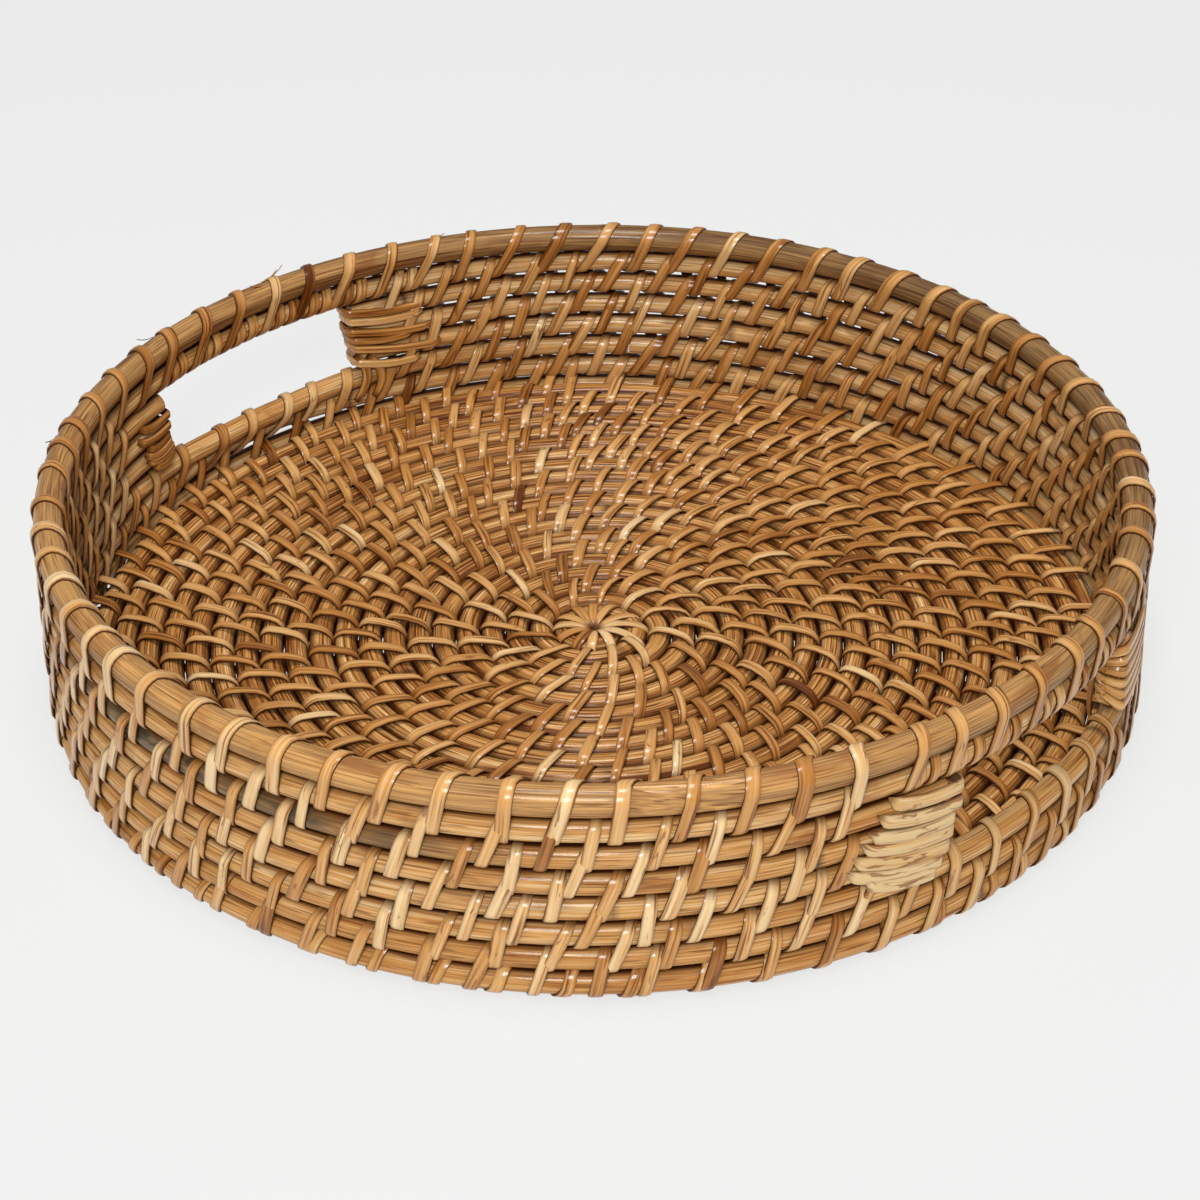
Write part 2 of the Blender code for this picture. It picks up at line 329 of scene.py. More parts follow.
def cane_nodes(along, angle, seed, marked):
    """Places of a cane's nodes along its length: at the marked angles, or else one every so often."""
    if marked is not None:
        return np.interp(np.array(marked), angle, along)
    random = np.random.default_rng(seed)
    places = np.arange(random.uniform(0.02, NODE_SPACING), along[-1] + NODE_SPACING, NODE_SPACING)
    return places + random.uniform(-0.06, 0.06, len(places))


def sweep_cane(radius, angle, height, half, seed, kind, marked=None, stain=0.0, fade_and_light=0.0):
    """Round cane along a path: a circle in the upright plane through the axis, carried along the path.

    Each point of the circle stands at half the thickness, dented a little by waves round it and swollen at
    the cane's nodes. On the floor the circle is pressed squarer: the sum of a power of its cosine and sine
    stays one. kind says where its crevices and their painted shade are, stain how strong a grey stain is at
    each place, and the last argument how far the tone follows the fading side. On the wall it runs against
    it, as painted light that lightens the back of the wall and darkens its front.
    """
    random = np.random.default_rng(seed)
    turn = CANE_TURN
    middle = polar(radius, angle, height)
    steps = np.linalg.norm(np.diff(middle, axis=0), axis=1)
    along = np.concatenate([[0.0], np.cumsum(steps)])
    away = np.abs(along[:, None] - cane_nodes(along, angle, seed, marked)[None]).min(axis=1)
    swell = 1 + NODE_SWELL * np.exp(-(away / (3 * NODE_WIDTH)) ** 2)
    ripple = np.sin(along[:, None] * DENT_PHASE_A_METRE + 2 * turn[None])
    dent = 1 + DENT_ROUND * waves(turn, seed + 1)[None] + DENT_ALONG * ripple
    power = FLOOR_POWER if kind == "floor" else ROUND_POWER
    press = (np.abs(np.cos(turn)) ** power + np.abs(np.sin(turn)) ** power) ** (-1 / power)
    reach = half[:, None] * swell[:, None] * dent * press
    across, up = reach * np.cos(turn), reach * np.sin(turn)
    outward = np.stack([np.cos(angle), np.sin(angle), 0 * angle], axis=-1)
    points = middle[:, None] + across[..., None] * outward[:, None] + up[..., None] * UPWARD
    lengths = np.broadcast_to(along[:, None], across.shape)
    fibre = np.stack([lengths, across, up], axis=-1) + random.uniform(-9, 9, 3)

    def all_round(values):
        """A value at each place along the cane, for every point round it there."""
        return np.broadcast_to(values[:, None], across.shape).flatten()

    return {
        "points": points,
        "turned": angle[-1] > angle[0],
        "fibre": fibre.reshape(-1, 3),
        # Tone follows the fading side; on the wall it runs against it, as painted light.
        "tone": all_round(random.uniform(0.30, 0.70) + fade_and_light * fading(angle)),
        # Painted shade, with some varnish stain, in the crevices beside the neighbouring canes.
        "crevice": crevice_shade(kind, angle).ravel(),
        "ring": all_round(np.exp(-(away / NODE_WIDTH) ** 2)),
        "stain": all_round(stain + 0 * angle),
    }


def add_cane(name, cane, material, replaced):
    """Add a swept cane as a piece, its faces turned outwards where it runs anticlockwise."""
    points = cane.pop("points")
    faces = tube_faces(1, points.shape[0], points.shape[1], cane.pop("turned"))
    return add_piece(name, points, faces, cane, material, replaced)


# One loop of a stitch round two canes. Each sample holds the direction out of the loop, in eighths of a
# half turn from the way that leads from the first cane to the second, and which cane it lies on.
# The loop starts in the gap before the first cane, crosses one face and comes back on the other one. The
# first face is the floor's upper side and the wall's inside.
FACE_ARC = [(8, 0.0), (7, 0.0), (6, 0.0), (5, 0.0), (4, 0.0),
            (4, 0.5), (4, 1.0), (3, 1.0), (2, 1.0), (1, 1.0)]
BACK_ARC = [(eighths - 8, 1.0 - cane) for eighths, cane in FACE_ARC]
LOOP = np.array(FACE_ARC + BACK_ARC + [(-8, 0.0)])
LOOP_TURN = LOOP[:, 0] * math.pi / 8
LOOP_CANE = LOOP[:, 1]
LOOP_LENGTH = np.concatenate([[0.0], np.cumsum(1.0 + 1.5 * (np.abs(np.diff(LOOP_CANE)) > 0.1))])
LOOP_SHARE = LOOP_LENGTH / LOOP_LENGTH[-1]
LOOP_SIDE = np.where(LOOP_SHARE <= 0.5, 1.0, -1.0)
LOOP_GAP = np.exp(-(np.sin(LOOP_TURN) / 0.65) ** 2)
LOOP_FAR_END = np.where((LOOP_CANE > 0.5) & (np.abs(LOOP_TURN) <= math.pi / 2), 1.0, 0.0)

# Section of a strip, flat below and a little crowned above, as shares of half its width and of its thickness.
STRIP_ACROSS = np.array([-1.0, 1.0, 0.97, 0.55, -0.55, -0.97])
STRIP_RISE = np.array([0.0, 0.0, 0.70, 1.0, 1.0, 0.70])
SEAT = 0.00008
LOOP_METRES = 0.055
# Strength of the painted shade where a loop dives into the gap between canes.
GAP_SHADE = 0.8


def loop_angles(start, end, face_share):
    """Angles along each loop from its start to its end, a share of the way on the loop's first face."""
    share = LOOP_SHARE[None]
    face = face_share[:, None]
    spent = np.where(share <= 0.5, 2 * share * face, face + (2 * share - 1) * (1 - face))
    return start[:, None] + (end - start)[:, None] * spent


def loft_strips(middle, out, along, width, thickness, tone, gap, seed, round_share=0.0, stain=1.0):
    """Flat strips along paths: the crowned section stands out of the path and lies square to it.

    middle and out hold the points and outward directions of each strip's samples, width its width at each.
    The round share lowers the section's shoulders, and stain is the strength of the darkening along the
    edges, partly stain and partly painted shade where the strip lies on the cane. gap is the strength of the
    painted shade where it dives between canes.
    """
    random = np.random.default_rng(seed)
    along, width, thickness, gap = [np.broadcast_to(values, middle.shape[:2])[..., None]
                                    for values in (along, width, thickness, gap)]
    side = np.cross(out, np.gradient(middle, axis=1))
    side /= np.linalg.norm(side, axis=-1, keepdims=True)
    across = width / 2 * STRIP_ACROSS
    rise = thickness * STRIP_RISE ** (1 + 3 * round_share)
    points = middle[:, :, None] + across[..., None] * side[:, :, None] + rise[..., None] * out[:, :, None]
    shift = random.uniform(-9, 9, (len(across), 1, 1, 3))
    fibre = np.stack(np.broadcast_arrays(along, across, rise), axis=-1) + shift
    # Lower edges darkened, partly stain and partly painted shade; gap adds painted shade between canes.
    edge = np.broadcast_to(stain * np.minimum(1.6 * (1 - STRIP_RISE), 1), across.shape)
    return {
        "points": points,
        "fibre": fibre.reshape(-1, 3),
        "tone": np.broadcast_to(tone[:, None, None], across.shape).ravel(),
        "crevice": np.maximum(edge, gap).ravel(),
    }


def path_normals(radius, angle, height):
    """Outward directions of paths, square to them in the upright plane through the axis."""
    outward = np.stack([-np.gradient(height, axis=1), np.gradient(radius, axis=1)])
    outward /= np.linalg.norm(outward, axis=0)
    return polar(outward[0], angle, outward[1])


def lay_loops(angle, first, second, width, thickness, tone, bulge, seed, pinch=0.30, bare=0.0):
    """Stitch loops round two canes, each given as radius, height and half thickness at every sample.

    A sample stands out of its cane's middle by the cane's half thickness, in its own direction in the upright
    plane through the axis. On each face the loop then arches by its bulge, most between the two canes. In
    the gaps between canes the strip narrows by the pinch and is given painted shade, apart from the bare
    share of the loop's far end.
    """
    gap = LOOP_GAP * (1 - bare * LOOP_FAR_END)
    centre = [one + (two - one) * LOOP_CANE for one, two in zip(first, second)]
    lead = np.arctan2(second[1] - first[1], second[0] - first[0])
    spacing = np.hypot(second[1] - first[1], second[0] - first[0])
    lift = centre[2] + SEAT
    forth = ((LOOP_CANE - 0.5) * spacing + lift * np.cos(LOOP_TURN)) / (spacing / 2 + lift)
    arch = np.where(LOOP_SIDE > 0, bulge[0][:, None], -bulge[1][:, None]) * np.clip(1 - forth ** 2, 0, 1)
    radius = centre[0] + lift * np.cos(lead + LOOP_TURN) - arch * np.sin(lead)
    height = centre[1] + lift * np.sin(lead + LOOP_TURN) + arch * np.cos(lead)
    middle = polar(radius, angle, height)
    out = path_normals(radius, angle, height)
    widths = width[:, None] * (1 - pinch * gap)
    thick = thickness[:, None] * (1 - 1.5 * pinch * gap)
    # The gaps between canes get painted shade.
    return loft_strips(middle, out, LOOP_SHARE * LOOP_METRES, widths, thick, tone, gap * GAP_SHADE, seed)


def add_strips(name, strips, replaced=(), finish="amber strip"):
    """Add lofted strips as one piece."""
    points = strips.pop("points")
    faces = tube_faces(*points.shape[:3])
    return add_piece(name, points, faces, strips, shared_material(finish), replaced, crease=38.0)


# Floor

class Coil:
    """The floor's spiral: its radius grows by one pitch a turn, clockwise, and its tail thins out."""

    def __init__(self, sizes):
        """Work the spiral out from the floor's sizes and the foot that it ends inside."""
        self.cane = sizes.floor_cane
        self.pitch = sizes.floor_cane + sizes.floor_gap
        self.start = sizes.eye / 2 + sizes.floor_cane / 2
        edge = FOOT.radius - FOOT.half - sizes.floor_gap
        self.full = (edge - self.cane / 2 - self.start) / self.pitch
        self.end = self.full + 1 - (sizes.tail_end + sizes.floor_gap) / self.pitch
        self.stray = sizes.unevenness

    def place(self, turns):
        """Radius, height and half thickness of the coil after a number of turns, thin at both ends."""
        tail = np.clip(turns - self.full, 0.0, None)
        thickness = self.cane * (1 + 0.6 * np.clip(turns, -1.0, 0.0)) - tail * self.pitch
        radius = self.start + (turns - tail) * self.pitch + tail * self.pitch / 2
        angle = -FULL_TURN * turns
        height = FLOOR_HEIGHT + self.stray * (0.5 + 0.4 * waves(angle, 41) + 0.4 * np.sin(1.7 * turns))
        uneven = 1.06 + 0.02 * np.sin(turns * 9.1) + 0.012 * np.sin(turns * 23.7)
        return radius, height, thickness / 2 * uneven


STAR_STRIPS = 12
CROWDED = 1.42
STAR_SAMPLES = np.linspace(math.radians(8), math.radians(176), 15)


def floor_stitch_turns(coil, step, random):
    """Places of the floor's stitches, in turns: each between two of the turn before, two where they part."""
    turns = list(1 + np.arange(STAR_STRIPS) / STAR_STRIPS)
    shift = 0.08
    place = 0
    while turns[-1] < coil.full - 0.02:
        one, two = turns[place], turns[place + 1]
        radius = coil.start + (one + 1) * coil.pitch
        spread_out = FULL_TURN * radius * (two - one)
        shares = (0.5,) if spread_out < CROWDED * step else (0.26, 0.76)
        for share in shares:
            stray = random.uniform(-0.07, 0.07)
            turns.append(one + (two - one) * (share + shift + stray) + 1)
        place += 1
    return np.array(turns)


def floor_stitches(sizes):
    """Loops of the floor's stitches, each round two turns, or round the last turn and the foot."""
    random = np.random.default_rng(5)
    coil = Coil(sizes)
    turns = floor_stitch_turns(coil, sizes.stitch_step, random)
    count = len(turns)
    radius = coil.place(turns + 0.5)[0]
    face_share = random.uniform(0.32, 0.56, count)
    step = np.minimum(sizes.stitch_step, 0.7 * radius)
    start = -FULL_TURN * turns + face_share / 2 * step / radius
    angle = loop_angles(start, start - step / radius, face_share)
    at = -angle / FULL_TURN
    first = coil.place(at)
    outer = coil.place(at + 1)
    foot = place_round(FOOT, angle, sizes)
    last = (at + 1 > coil.full)
    second = [np.where(last, edge, inner) for edge, inner in zip(foot, outer)]
    width = sizes.strip_width * random.uniform(0.76, 1.06, count) * np.clip(radius / 0.04, 0.8, 1.0)
    thickness = sizes.strip_thickness * random.uniform(0.8, 1.1, count)
    tone = np.clip(random.normal(0.46, 0.13, count), 0, 1)
    bulge = random.uniform(0.0009, 0.0021, count), np.zeros(count)
    bare = 1.0 * last.any(axis=1, keepdims=True)
    return lay_loops(angle, first, second, width, thickness, tone, bulge, 6, bare=bare)


def star_strips(sizes):
    """Strips that arch from the eye over the first turn: half ellipses, narrow in the middle."""
    random = np.random.default_rng(8)
    coil = Coil(sizes)
    turns = (np.arange(STAR_STRIPS) + 0.5 + random.uniform(-0.15, 0.15, STAR_STRIPS)) / STAR_STRIPS
    cane, _, half = coil.place(turns)
    near, far = 0.0006, (cane + half + 0.0005)[:, None]
    radius = (near + far) / 2 - (far - near) / 2 * np.cos(STAR_SAMPLES)
    rise = coil.cane / 2 + random.uniform(0.0008, 0.0016, STAR_STRIPS)
    height = FLOOR_HEIGHT + rise[:, None] * np.sin(STAR_SAMPLES) ** 0.8
    sweep = random.uniform(0.10, 0.30, STAR_STRIPS)[:, None] * (radius / far - 0.4)
    angle = -FULL_TURN * turns[:, None] - sweep
    middle = polar(radius, angle, height)
    out = path_normals(radius, angle, height)
    width = np.minimum(sizes.strip_width * 0.85, 0.0007 + radius * 0.42)
    thickness = sizes.strip_thickness * 0.8
    tone = np.clip(random.normal(0.60, 0.14, STAR_STRIPS), 0, 1)
    # Painted shade near the eye, and where each strip dives in under the first turn.
    gap = np.clip(1.2 - radius / 0.0045, 0, 0.8) + np.clip(radius / far - 0.9, 0, 0.1) * 6
    return loft_strips(middle, out, radius, width, thickness, tone, gap, 9)


# Wall

ROW_SHIFT = 0.58
SOOT_PLACE = math.radians(-87)
SOOT_REACH = math.radians(27)
BINDING_REACH = math.radians(8.6)


def soot_stain(angle):
    """Strength of the grey stain at the front of the highest cut round, fading out to both sides."""
    return np.exp(-(apart(angle, SOOT_PLACE) / SOOT_REACH) ** 4)


def wall_tone(angle):
    """Middle tone of the wall's strips at each angle."""
    return 0.57 + 0.10 * fading(angle)


def foot_tone(angle):
    """Middle tone of the lowest row's strips, browner than the rest."""
    return 0.46 + 0.06 * fading(angle)


def rim_tone(angle):
    """Middle tone of the rim's strips: pale at the front left, brown on the left and amber elsewhere."""
    pale = np.exp(-(apart(angle, math.radians(-98)) / 0.36) ** 2)
    dull = np.exp(-(apart(angle, math.radians(190)) / 0.60) ** 2)
    return 0.48 + 0.30 * pale - 0.10 * dull


def row_starts(row, sizes, random):
    """Where a wall row's loops start and where the last one ends, each row moved on past the one below."""
    count = round(FULL_TURN * RIM.radius / sizes.stitch_step)
    stray = random.uniform(-0.15, 0.15, count)
    starts = -(np.arange(count) + row * ROW_SHIFT + stray) * FULL_TURN / count
    return np.append(starts, starts[0] - FULL_TURN)


def wall_row(row, sizes, random, tone, width, face=0.6, arch=(0.0010, 0.0006), pinch=0.30):
    """Loops of one row of the wall, round a round and the next one up, each starting where the last one ends.

    face is the share of each loop's advance on the inner face, arch the bulge on the inner and outer face.
    Where the row's canes are cut, the loops over the hand-holds and their bindings are left out.
    """
    starts = row_starts(row, sizes, random)
    count = len(starts) - 1
    face_share = random.uniform(face - 0.16, face + 0.16, count)
    angle = loop_angles(starts[:-1], starts[1:], face_share)
    bulge = random.uniform(0.4, 1.0, (2, count)) * np.array(arch)[:, None]
    widths = width * random.uniform(0.84, 1.14, count)
    thickness = sizes.strip_thickness * random.uniform(0.8, 1.1, count)
    tones = np.clip(random.normal(0.0, 0.13, count) + tone(angle[:, 0]), 0, 1)
    cut_canes = [wall_round in CUTS for wall_round in WALL[row:row + 2]]
    if any(cut_canes):
        margin = HOLD_HALF + BINDING_REACH * (1.0 if all(cut_canes) else 0.75)
        kept = hold_distance(angle.mean(axis=1)) > margin
        angle, bulge, widths = angle[kept], bulge[:, kept], widths[kept]
        thickness, tones = thickness[kept], tones[kept]
    first = place_round(WALL[row], angle, sizes)
    second = place_round(WALL[row + 1], angle, sizes)
    over_hold = 1 - beside_holds(angle.mean(axis=1))[:, None]
    # No painted gap shade at the far end of loops over the rim and over the upper sill at the hand-holds.
    bare = {RIM: 1.0, SILLS[1]: over_hold}.get(WALL[row + 1], 0.0)
    return lay_loops(angle, first, second, widths, thickness, tones, bulge, 60 + row, pinch, bare)


WRAP_SHARE = np.linspace(0, 1, 17)
WRAP_TURN = math.pi / 2 + FULL_TURN * WRAP_SHARE


def bar_wraps(sizes, starts, random):
    """Wraps round the hold bar alone, two after each of the rim's loops over the hand-holds.

    Each is a ring round the bar that starts and ends on top of it, and moves on as it goes round.
    """
    over = starts[:-1][hold_distance(starts[:-1]) < HOLD_HALF * 1.25]
    spacing = sizes.stitch_step / BAR.radius
    first = np.concatenate([over - 1.05 * spacing, over - 0.72 * spacing])
    first = first + random.uniform(-0.05, 0.05, len(first)) * spacing
    count = len(first)
    angle = first[:, None] + 0.55 * spacing * WRAP_SHARE
    radius, height, half = place_round(BAR, angle, sizes)
    lift = half + SEAT
    middle = polar(radius + lift * np.cos(WRAP_TURN), angle, height + lift * np.sin(WRAP_TURN))
    out = polar(np.cos(WRAP_TURN), angle, np.sin(WRAP_TURN))
    widths = sizes.strip_width * random.uniform(0.8, 1.05, (count, 1))
    thickness = sizes.strip_thickness * random.uniform(0.8, 1.1, (count, 1))
    tones = np.clip(random.normal(0.50, 0.13, count), 0, 1)
    return loft_strips(middle, out, 0.03 * WRAP_SHARE, widths, thickness, tones, 0.0, 90)


# Bindings

BINDING_SAMPLES = 0.5 + 0.5 * np.sin(np.linspace(-math.pi / 2, math.pi / 2, 41))
BINDING_BEND = 0.30


class Binding(NamedTuple):
    """One of the four bindings: its hold, the way it runs from it, and what its strips look like.

    Every strip is given its level at the hold, as a share of the way down the cut ends, its lengths along the
    outer and the inner face, and how far it stands into the hold, in millimetres. A strip without a length on
    one face is broken off at the hold. Slants are how far strips fall along a face. Strips draw together by a
    share, at a place round the end from -1 on the outer face to 1 on the inner one, towards a share of the
    way down. Tip is the share of a strip's width that is cut off slanting at its ends, and stain the strength
    of the darkening along its edges, partly stain and partly painted shade between the strips.
    """

    name: str
    hold: float
    side: int
    strips: tuple
    width: float
    slants: tuple
    gather: tuple
    tip: float
    tone: float
    stain: float


BINDINGS = (
    Binding("right_front", RIGHT_HOLD, -1, (
        (0.10, 25, 26, 3.5), (0.31, 29, 30, 3.0), (0.49, 32, 26, 0.5), (0.67, 35, 32, 0.0),
        (0.85, 38, 28, -1.5), (1.02, 40, 0, -4.0), (1.15, 33, 0, -6.5)),
        0.0055, (-0.15, 0.06), (0.0, 0.0, 0.5), 0.92, 0.68, 0.60),
    Binding("right_back", RIGHT_HOLD, 1, (
        (0.10, 26, 28, 1.0), (0.27, 31, 30, 1.0), (0.44, 28, 27, 0.5), (0.61, 33, 31, 0.5),
        (0.79, 30, 26, 0.0), (0.97, 34, 29, -0.5)),
        0.0046, (-0.06, 0.05), (0.66, 0.34, 0.42), 0.40, 0.50, 1.0),
    Binding("left_front", LEFT_HOLD, 1, (
        (0.30, 26, 19, 0.0), (0.47, 30, 21, -0.5), (0.63, 0, 15, -1.0), (0.73, 28, 17, -0.5),
        (0.84, 0, 16, 1.0), (0.95, 0, 12, 0.5)),
        0.0038, (0.05, -0.06), (0.10, 0.1, 0.45), 0.40, 0.34, 1.0),
    Binding("left_back", LEFT_HOLD, -1, (
        (0.08, 29, 33, 1.5), (0.22, 26, 32, 1.0), (0.39, 32, 36, 0.5), (0.53, 28, 27, 0.0),
        (0.67, 33, 40, -0.8), (0.90, 31, 30, -1.5)),
        0.0039, (0.05, 0.10), (0.0, 0.0, 0.50), 0.25, 0.48, 1.0),
)


def binding_strips(binding, sizes, seed):
    """Strips bound round the cut ends at one side of a hand-hold.

    Each loop runs from its outer end along the outer face, turns round the cane ends in a half circle, and
    runs back along the inner face. At each end it is cut slanting and dips in between the canes.
    """
    random = np.random.default_rng(seed)
    table = np.array(binding.strips)
    loops = len(table)
    top = CUTS[-1].height + CUTS[-1].half
    low = CUTS[0].height - CUTS[0].half
    level = top - (top - low) * table[:, :1]
    start = np.where(table[:, 1:2] > 0, -1.0, -0.05)
    end = np.where(table[:, 2:3] > 0, 1.0, 0.05)
    share = start + (end - start) * BINDING_SAMPLES
    inner = share > 0
    length = np.where(inner, table[:, 2:3], table[:, 1:2]) / 1000
    into = table[:, 3:4] / 1000
    straight = np.clip((np.abs(share) - BINDING_BEND) / (1 - BINDING_BEND), 0, 1)
    bend = np.clip(np.abs(share) / BINDING_BEND, 0, 1) * math.pi / 2
    dip = smooth_step(straight, 0.88, 1.0)
    bulge = random.uniform(0.0010, 0.0020, (loops, 1))
    along = straight * (length + into) - into - bulge * np.cos(bend)
    order = np.arange(loops)[:, None] / loops
    face = CUTS[1].half + SEAT + 0.0006 * order + random.uniform(0.0, 0.0005, (loops, 1)) * (1 - straight)
    offset = -np.sign(share) * face * np.sin(bend) ** 0.8 * (1 - 0.25 * (1 - binding.tip) * dip)
    slant = np.where(inner, binding.slants[1], binding.slants[0]) + random.uniform(-0.03, 0.03, (loops, 1))
    amount, place, meeting = binding.gather
    gather = amount * np.exp(-((share - place) / 0.34) ** 2)
    bow = 0.0016 * np.sin(straight * math.pi)
    height = level + (top - (top - low) * meeting - level) * gather - slant * straight * length - bow
    widths = binding.width * random.uniform(0.90, 1.08, (loops, 1))
    tip = binding.tip * np.clip((straight - 0.88) / 0.12, 0, 1)
    width = widths * (1 - tip) * (1 - 0.7 * gather)
    angle = binding.hold + binding.side * (HOLD_HALF + along / CUTS[1].radius)
    middle = polar(CUTS[1].radius + offset, angle, height + widths / 2 * tip)
    outward = -np.sign(share) * np.sin(bend)
    forward = -np.cos(bend) * binding.side
    out = polar(outward, angle, 0.0) + polar(forward, angle + math.pi / 2, 0.0)
    thickness = sizes.strip_thickness * 1.3
    tone = np.clip(random.normal(binding.tone, 0.09, loops), 0, 1)
    along = along + np.where(inner, 0.1, 0.0)
    # Painted shade where the ends dip in between the canes.
    return loft_strips(middle, out, along, width, thickness, tone, dip * 0.5, seed + 1,
                       1.0 - binding.tip, binding.stain)


class Tie(NamedTuple):
    """A strip that ties a binding down to the sill, or hangs loose over it, through three places.

    Angles are in degrees from the hold's edge, reaches in millimetres outward from the middle of the wall and
    levels in millimetres from the middle of the lowest cut round. Facing turns the strip from the inside of
    the wall towards the hold, in degrees.
    """

    hold: float
    side: int
    angles: tuple
    reaches: tuple
    levels: tuple
    facing: float
    width: float
    tone: float


TIES = (
    Tie(LEFT_HOLD, -1, (-0.3, 1.2, -0.6), (-5.0, -5.4, -5.6), (3.0, -8.0, -19.0), 0, 0.0042, 0.50),
    Tie(LEFT_HOLD, -1, (1.4, 3.2, 2.0), (-5.0, -5.4, -5.6), (1.0, -9.0, -19.0), 0, 0.0042, 0.44),
    Tie(RIGHT_HOLD, 1, (-0.2, -0.7, 0.3), (-4.4, -5.4, -4.6), (15.0, -1.0, -13.0), 40, 0.0034, 0.42),
    Tie(RIGHT_HOLD, 1, (0.6, 0.4, 1.3), (-5.2, -6.0, -5.2), (14.0, -2.0, -16.0), 20, 0.0036, 0.50),
    Tie(RIGHT_HOLD, 1, (-0.5, -0.2, 0.9), (-3.5, 1.5, 5.0), (20.5, 22.0, 27.5), 80, 0.0036, 0.30),
)


def tie_strips(sizes):
    """Strips through three places each: a parabola in angle, reach and level."""
    share = np.linspace(0, 1, 15)
    weights = np.stack([(1 - share) * (1 - 2 * share), 4 * share * (1 - share), share * (2 * share - 1)])
    holds, side, angles, reaches, levels, facing, widths, tone = [np.array(column) for column in zip(*TIES)]
    side = side[:, None]
    angle = holds[:, None] + side * HOLD_HALF + side * np.radians(angles @ weights)
    radius = CUTS[0].radius + reaches @ weights / 1000
    height = CUTS[0].height + levels @ weights / 1000
    facing = np.radians(facing)[:, None]
    inward = polar(-np.cos(facing), angle, 0.0)
    towards = polar(-side * np.sin(facing), angle + math.pi / 2, 0.0)
    width = widths[:, None] * (0.65 + 0.35 * np.sin(share * math.pi))
    # Painted shade at both ends, where they dive in between the canes.
    gap = np.clip(np.abs(2 * share - 1) * 3 - 2, 0, 1) * 0.8
    middle = polar(radius, angle, height)
    return loft_strips(middle, inward + towards, share * 0.024, width, sizes.strip_thickness, tone, gap, 94)


# Splinters torn up from the rim where bark has lifted: angle, way that they point round it, length, and the
# side of the rim in degrees from outward.
SPLINTERS = ((174.6, -1, 0.011, 75), (173.9, -1, 0.007, 55), (175.3, 1, 0.006, 100), (192.0, 1, 0.008, 60),
             (215.0, 1, 0.007, 40), (152.0, -1, 0.006, 95))


def splinter_strips(sizes):
    """Thin slivers of bark: each narrows along the rim and lifts off by the square of the way along it."""
    table = np.array(SPLINTERS)
    share = np.linspace(0, 1, 9)
    angle = np.radians(table[:, :1]) + table[:, 1:2] * table[:, 2:3] / RIM.radius * share
    lean = np.radians(table[:, 3:4])
    radius, height, half = place_round(RIM, angle, sizes)
    lift = half + SEAT + 0.35 * table[:, 2:3] * share ** 2
    middle = polar(radius + lift * np.cos(lean), angle, height + lift * np.sin(lean))
    out = polar(np.cos(lean), angle, np.sin(lean))
    width = 0.0014 * (1 - 0.85 * share)
    thickness = 0.0003
    along = table[:, 2:3] * share
    return loft_strips(middle, out, along, width, thickness, np.full(len(table), 0.40), 0.0, 97)


# Materials

def add_node(tree, kind, inputs=None, **settings):
    """Add a shader node with its settings and its inputs: values, or sockets to link from."""
    node = tree.nodes.new(kind)
    for key, value in settings.items():
        setattr(node, key, value)
    for key, value in (inputs or {}).items():
        if isinstance(value, bpy.types.NodeSocket):
            tree.links.new(value, node.inputs[key])
        else:
            node.inputs[key].default_value = value
    return node


def attribute(tree, name, output):
    """A mesh attribute's output."""
    return add_node(tree, "ShaderNodeAttribute", attribute_name=name).outputs[output]


def streaks(tree, scale, detail, roughness=0.6, distortion=0.0):
    """Noise drawn out along the fibres: scale is periods a metre along and across them."""
    vector = attribute(tree, "fibre", "Vector")
    mapping = add_node(tree, "ShaderNodeMapping", {"Vector": vector, "Scale": scale})
    inputs = {"Vector": mapping.outputs["Vector"], "Scale": 1.0, "Detail": detail,
              "Roughness": roughness, "Distortion": distortion}
    return add_node(tree, "ShaderNodeTexNoise", inputs).outputs["Fac"]


def ramp(tree, value, stops):
    """A colour ramp through stops of place and colour."""
    node = add_node(tree, "ShaderNodeValToRGB", {"Fac": value})
    elements = node.color_ramp.elements
    while len(elements) < len(stops):
        elements.new(0.5)
    for element, (place, colour) in zip(elements, stops):
        element.position = place
        element.color = (*colour, 1.0)
    return node.outputs["Color"]


def spread(tree, value, low, high, to_low=0.0, to_high=1.0):
    """A value's range stretched to another one and clamped."""
    inputs = {"Value": value, "From Min": low, "From Max": high, "To Min": to_low, "To Max": to_high}
    return add_node(tree, "ShaderNodeMapRange", inputs, clamp=True).outputs["Result"]


def reckon(tree, operation, *values):
    """The outcome of a sum on values or sockets."""
    return add_node(tree, "ShaderNodeMath", dict(enumerate(values)), operation=operation).outputs[0]


def sums(tree, one, two, share):
    """One value plus a share of another less a half."""
    return reckon(tree, "ADD", one, reckon(tree, "MULTIPLY_ADD", two, share, -share / 2))


def blend(tree, factor, one, two):
    """One colour over to another by a factor."""
    ends = [end if isinstance(end, bpy.types.NodeSocket) else (*end, 1.0) for end in (one, two)]
    return add_node(tree, "ShaderNodeMix", {0: factor, 6: ends[0], 7: ends[1]}, data_type="RGBA").outputs[2]


SPECULAR = 0.15
COAT_ROUGHNESS = 0.13
RELIEF = 0.0005


